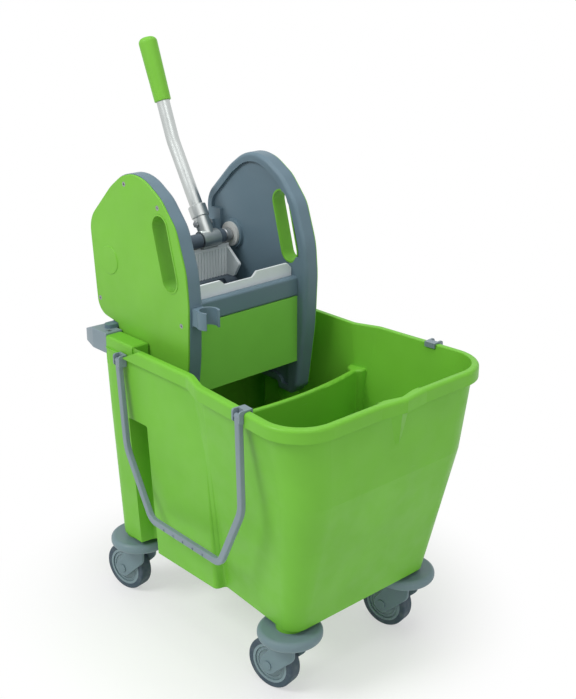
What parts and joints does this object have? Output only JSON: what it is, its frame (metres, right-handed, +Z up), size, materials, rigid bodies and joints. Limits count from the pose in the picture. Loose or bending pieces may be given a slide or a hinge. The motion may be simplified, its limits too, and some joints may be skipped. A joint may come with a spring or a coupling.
{
  "type": "mop bucket with wringer",
  "caption": "Two-compartment mop bucket on swivel castors with bail handles, a pouring spout and a lift-off lever press wringer with a mop-handle clip.",
  "frame": {"origin": "on the floor, under the middle of the part's overall length and width", "axes": "+X towards the front wall with the pouring spout, +Z up; left is the -Y side, as seen by somebody who stands in front of the bucket and looks at it"},
  "size_m": [0.6476, 0.4012, 0.8811],
  "materials": {
    "bucket_green": "satin",
    "panel_green": "satin",
    "frame_blue_grey": "satin",
    "trim_grey": "satin",
    "press_white_grey": "satin",
    "press_dark_grey": "satin",
    "bearing_plastic": "satin",
    "castor_grey": "satin",
    "tyre_rubber": "matte",
    "bright_steel": "brushed",
    "lever_tube_steel": "polished"
  },
  "bodies": {
    "bucket": {"bucket_body": "bucket_green", "bail_clips": "trim_grey", "wringer_bracket_left": "trim_grey", "wringer_bracket_right": "trim_grey", "bracket_screws": "bright_steel", "castor_front_left_bumper": "castor_grey", "castor_front_right_bumper": "castor_grey", "castor_rear_left_bumper": "castor_grey", "castor_rear_right_bumper": "castor_grey", "castor_front_left_stem": "bright_steel", "castor_front_right_stem": "bright_steel", "castor_rear_left_stem": "bright_steel", "castor_rear_right_stem": "bright_steel"},
    "wringer": {"cheek_shell_left": "frame_blue_grey", "cheek_shell_right": "frame_blue_grey", "cheek_cover_left": "panel_green", "cheek_cover_right": "panel_green", "cover_screws": "bright_steel", "front_crossbar": "frame_blue_grey", "front_panel": "panel_green", "member_screws": "bright_steel", "fixed_press_plate": "press_white_grey", "sieve_plate": "frame_blue_grey", "rear_panel": "frame_blue_grey", "tie_rod": "bright_steel", "mop_clip": "frame_blue_grey", "mop_clip_screw": "bright_steel", "shaft_bush_left": "bearing_plastic", "shaft_bush_right": "bearing_plastic"},
    "press": {"press_shaft": "bright_steel", "shaft_circlips": "bright_steel", "set_collar": "bright_steel", "press_carrier": "press_dark_grey", "press_plate": "press_white_grey", "press_plate_screws": "bright_steel", "return_spring": "bright_steel", "lever_socket": "lever_tube_steel", "socket_bolt": "bright_steel", "lever_collar": "lever_tube_steel", "lever_tube": "lever_tube_steel", "lever_grip": "panel_green"},
    "left_bail": {"bail_left": "trim_grey"},
    "right_bail": {"bail_right": "trim_grey"},
    "castor_front_left_swivel": {"castor_front_left_fork": "castor_grey", "castor_front_left_axle": "bright_steel"},
    "castor_front_left_wheel": {"castor_front_left_hub": "castor_grey", "castor_front_left_tyre": "tyre_rubber"},
    "castor_front_right_swivel": {"castor_front_right_fork": "castor_grey", "castor_front_right_axle": "bright_steel"},
    "castor_front_right_wheel": {"castor_front_right_hub": "castor_grey", "castor_front_right_tyre": "tyre_rubber"},
    "castor_rear_left_swivel": {"castor_rear_left_fork": "castor_grey", "castor_rear_left_axle": "bright_steel"},
    "castor_rear_left_wheel": {"castor_rear_left_hub": "castor_grey", "castor_rear_left_tyre": "tyre_rubber"},
    "castor_rear_right_swivel": {"castor_rear_right_fork": "castor_grey", "castor_rear_right_axle": "bright_steel"},
    "castor_rear_right_wheel": {"castor_rear_right_hub": "castor_grey", "castor_rear_right_tyre": "tyre_rubber"}
  },
  "joints": [
    {"name": "wringer_lift", "type": "slide", "parent": "bucket", "child": "wringer", "axis": [0, 0, 1], "range_m": [0, 0.3]},
    {"name": "press_hinge", "type": "hinge", "parent": "wringer", "child": "press", "pos_m": [-0.1627, 0, 0.574], "axis": [0, -1, 0], "range_deg": [0, 55], "stiffness_Nm_per_rad": 0.6, "springref_deg": -51.57},
    {"name": "left_bail_hinge", "type": "hinge", "parent": "bucket", "child": "left_bail", "pos_m": [0.0493, -0.18225, 0.447], "axis": [-0.995, 0.0818, -0.0578], "range_deg": [0, 170]},
    {"name": "right_bail_hinge", "type": "hinge", "parent": "bucket", "child": "right_bail", "pos_m": [0.0493, 0.18225, 0.447], "axis": [0.995, 0.0818, 0.0578], "range_deg": [0, 170]},
    {"name": "castor_front_left_swivel", "type": "hinge", "parent": "bucket", "child": "castor_front_left_swivel", "pos_m": [0.2233, -0.1205, 0.0932], "axis": [0, 0, 1], "continuous": true},
    {"name": "castor_front_left_roll", "type": "hinge", "parent": "castor_front_left_swivel", "child": "castor_front_left_wheel", "pos_m": [0.19474, -0.12554, 0.04], "axis": [-0.1736, 0.9848, 0], "continuous": true},
    {"name": "castor_front_right_swivel", "type": "hinge", "parent": "bucket", "child": "castor_front_right_swivel", "pos_m": [0.2233, 0.1205, 0.0932], "axis": [0, 0, 1], "continuous": true},
    {"name": "castor_front_right_roll", "type": "hinge", "parent": "castor_front_right_swivel", "child": "castor_front_right_wheel", "pos_m": [0.19474, 0.11546, 0.04], "axis": [-0.1736, 0.9848, 0], "continuous": true},
    {"name": "castor_rear_left_swivel", "type": "hinge", "parent": "bucket", "child": "castor_rear_left_swivel", "pos_m": [-0.1427, -0.1205, 0.0932], "axis": [0, 0, 1], "continuous": true},
    {"name": "castor_rear_left_roll", "type": "hinge", "parent": "castor_rear_left_swivel", "child": "castor_rear_left_wheel", "pos_m": [-0.17126, -0.12554, 0.04], "axis": [-0.1736, 0.9848, 0], "continuous": true},
    {"name": "castor_rear_right_swivel", "type": "hinge", "parent": "bucket", "child": "castor_rear_right_swivel", "pos_m": [-0.1427, 0.1205, 0.0932], "axis": [0, 0, 1], "continuous": true},
    {"name": "castor_rear_right_roll", "type": "hinge", "parent": "castor_rear_right_swivel", "child": "castor_rear_right_wheel", "pos_m": [-0.17126, 0.11546, 0.04], "axis": [-0.1736, 0.9848, 0], "continuous": true}
  ]
}
